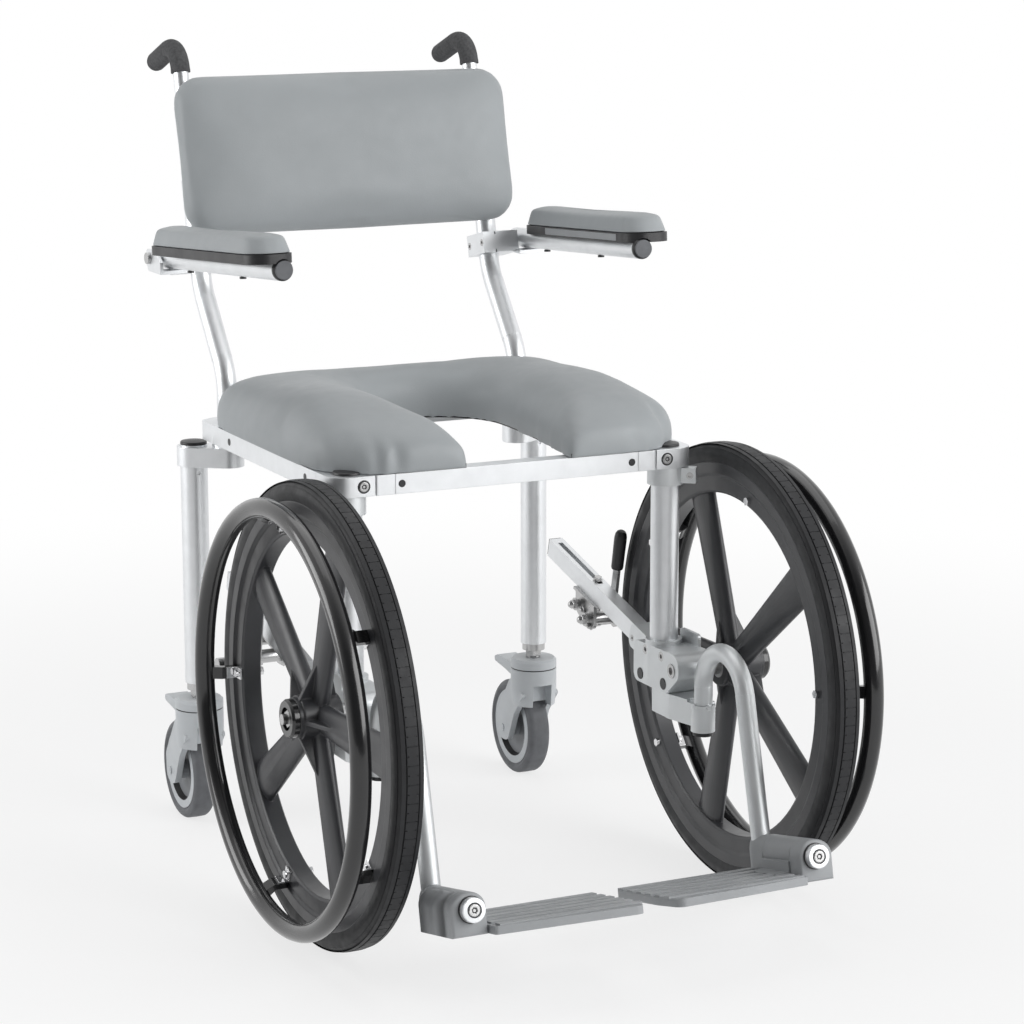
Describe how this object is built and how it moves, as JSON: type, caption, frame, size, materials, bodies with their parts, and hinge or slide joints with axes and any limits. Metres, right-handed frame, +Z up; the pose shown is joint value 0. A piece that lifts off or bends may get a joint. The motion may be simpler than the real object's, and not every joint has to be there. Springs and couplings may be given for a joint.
{
  "type": "shower commode chair",
  "caption": "Self-propelled shower commode chair with open-front padded seat, padded back, flip-up arms, spoked drive wheels, braked rear casters and lift-off footrests.",
  "frame": {"origin": "on the floor, under the middle of the chair's bounding box", "axes": "+Z up, the chair faces -Y, +X is the seated user's left"},
  "size_m": [0.6396, 1.0111, 0.97],
  "materials": {
    "anodised": "satin anodised",
    "cast_grey": "satin",
    "steel": "bright",
    "chrome": "polished",
    "black_plastic": "matte",
    "foam": "foam",
    "vinyl": "smooth vinyl",
    "charcoal_plastic": "moulded",
    "gloss_black": "gloss",
    "tyre": "ribbed rubber",
    "grey_plastic": "moulded",
    "caster_rubber": "smooth",
    "foot_grey": "moulded"
  },
  "bodies": {
    "frame": {"seat_cross_bars": "anodised", "seat_rails": "anodised", "front_corners": "anodised", "rear_corners": "anodised", "front_legs": "anodised", "rear_legs": "anodised", "leg_collars": "cast_grey", "frame_caps": "black_plastic", "frame_screws": "steel", "back_canes": "anodised", "push_grips": "foam", "arm_clamps": "anodised", "back_board": "black_plastic", "back_pad": "vinyl", "seat_board": "black_plastic", "seat_pad": "vinyl", "lower_brackets": "cast_grey", "hanger_receivers": "cast_grey", "brake_bars": "anodised", "brake_mounts": "steel", "wheel_axles": "steel", "caster_stems": "steel"},
    "right_wheel": {"right_wheel": "charcoal_plastic", "right_tyre": "tyre", "right_handrim": "gloss_black", "right_rim_clips": "chrome", "right_hub_cap": "gloss_black", "right_wheel_bearings": "steel"},
    "right_caster": {"right_caster_fork": "grey_plastic"},
    "right_caster_pedal": {"right_caster_pedal": "grey_plastic"},
    "right_caster_wheel": {"right_caster_wheel": "grey_plastic", "right_caster_tyre": "caster_rubber"},
    "right_arm": {"right_arm_tube": "anodised", "right_arm_trim": "black_plastic", "right_arm_pad": "vinyl"},
    "right_lock_lever": {"right_brake_lever": "steel"},
    "right_lock_shoe": {"right_brake_shoe": "steel"},
    "right_hanger": {"right_hanger": "cast_grey", "right_foot_housing": "foot_grey", "right_foot_bolt": "steel"},
    "right_footplate": {"right_footplate": "foot_grey"},
    "left_wheel": {"left_wheel": "charcoal_plastic", "left_tyre": "tyre", "left_handrim": "gloss_black", "left_rim_clips": "chrome", "left_hub_cap": "gloss_black", "left_wheel_bearings": "steel"},
    "left_caster": {"left_caster_fork": "grey_plastic"},
    "left_caster_pedal": {"left_caster_pedal": "grey_plastic"},
    "left_caster_wheel": {"left_caster_wheel": "grey_plastic", "left_caster_tyre": "caster_rubber"},
    "left_arm": {"left_arm_tube": "anodised", "left_arm_trim": "black_plastic", "left_arm_pad": "vinyl"},
    "left_lock_lever": {"left_brake_lever": "steel"},
    "left_lock_shoe": {"left_brake_shoe": "steel"},
    "left_hanger": {"left_hanger": "cast_grey", "left_foot_housing": "foot_grey", "left_foot_bolt": "steel"},
    "left_footplate": {"left_footplate": "foot_grey"}
  },
  "joints": [
    {"name": "right_wheel_spin", "type": "hinge", "parent": "frame", "child": "right_wheel", "pos_m": [-0.263, -0.18726, 0.262], "axis": [1, 0, 0], "continuous": true},
    {"name": "right_caster_swivel", "type": "hinge", "parent": "frame", "child": "right_caster", "pos_m": [-0.232, 0.28675, 0.165], "axis": [0, 0, 1], "continuous": true},
    {"name": "right_caster_spin", "type": "hinge", "parent": "right_caster", "child": "right_caster_wheel", "pos_m": [-0.232, 0.32675, 0.0625], "axis": [1, 0, 0], "continuous": true},
    {"name": "right_caster_brake", "type": "hinge", "parent": "right_caster", "child": "right_caster_pedal", "pos_m": [-0.232, 0.30674, 0.14], "axis": [-1, 0, 0], "range_deg": [0, 8]},
    {"name": "right_arm_flip", "type": "hinge", "parent": "frame", "child": "right_arm", "pos_m": [-0.243, 0.35253, 0.709], "axis": [-0.9993, -0.0384, 0], "range_deg": [0, 100]},
    {"name": "right_lock_lever_turn", "type": "hinge", "parent": "frame", "child": "right_lock_lever", "pos_m": [-0.235, 0.07075, 0.266], "axis": [1, 0, 0], "range_deg": [0, 50]},
    {"name": "right_lock_shoe_turn", "type": "hinge", "parent": "frame", "child": "right_lock_shoe", "pos_m": [-0.226, 0.09674, 0.28], "axis": [-1, 0, 0], "range_deg": [0, 14]},
    {"name": "right_hanger_lift", "type": "slide", "parent": "frame", "child": "right_hanger", "axis": [0, 0, 1], "range_m": [0, 0.028]},
    {"name": "right_footplate_flip", "type": "hinge", "parent": "right_hanger", "child": "right_footplate", "pos_m": [-0.208, -0.4692, 0.11539], "axis": [0, -0.977, 0.213], "range_deg": [0, 90]},
    {"name": "left_wheel_spin", "type": "hinge", "parent": "frame", "child": "left_wheel", "pos_m": [0.263, -0.18726, 0.262], "axis": [1, 0, 0], "continuous": true},
    {"name": "left_caster_swivel", "type": "hinge", "parent": "frame", "child": "left_caster", "pos_m": [0.232, 0.28675, 0.165], "axis": [0, 0, 1], "continuous": true},
    {"name": "left_caster_spin", "type": "hinge", "parent": "left_caster", "child": "left_caster_wheel", "pos_m": [0.232, 0.32675, 0.0625], "axis": [1, 0, 0], "continuous": true},
    {"name": "left_caster_brake", "type": "hinge", "parent": "left_caster", "child": "left_caster_pedal", "pos_m": [0.232, 0.30674, 0.14], "axis": [-1, 0, 0], "range_deg": [0, 8]},
    {"name": "left_arm_flip", "type": "hinge", "parent": "frame", "child": "left_arm", "pos_m": [0.243, 0.35253, 0.709], "axis": [-0.9993, 0.0384, 0], "range_deg": [0, 100]},
    {"name": "left_lock_lever_turn", "type": "hinge", "parent": "frame", "child": "left_lock_lever", "pos_m": [0.235, 0.07075, 0.266], "axis": [1, 0, 0], "range_deg": [0, 50]},
    {"name": "left_lock_shoe_turn", "type": "hinge", "parent": "frame", "child": "left_lock_shoe", "pos_m": [0.226, 0.09674, 0.28], "axis": [-1, 0, 0], "range_deg": [0, 14]},
    {"name": "left_hanger_lift", "type": "slide", "parent": "frame", "child": "left_hanger", "axis": [0, 0, 1], "range_m": [0, 0.028]},
    {"name": "left_footplate_flip", "type": "hinge", "parent": "left_hanger", "child": "left_footplate", "pos_m": [0.208, -0.4692, 0.11539], "axis": [0, 0.977, -0.213], "range_deg": [0, 90]}
  ],
  "couplings": [
    {"joint": "right_lock_shoe_turn", "follows": "right_lock_lever_turn", "ratio": 0.28},
    {"joint": "left_lock_shoe_turn", "follows": "left_lock_lever_turn", "ratio": 0.28}
  ]
}
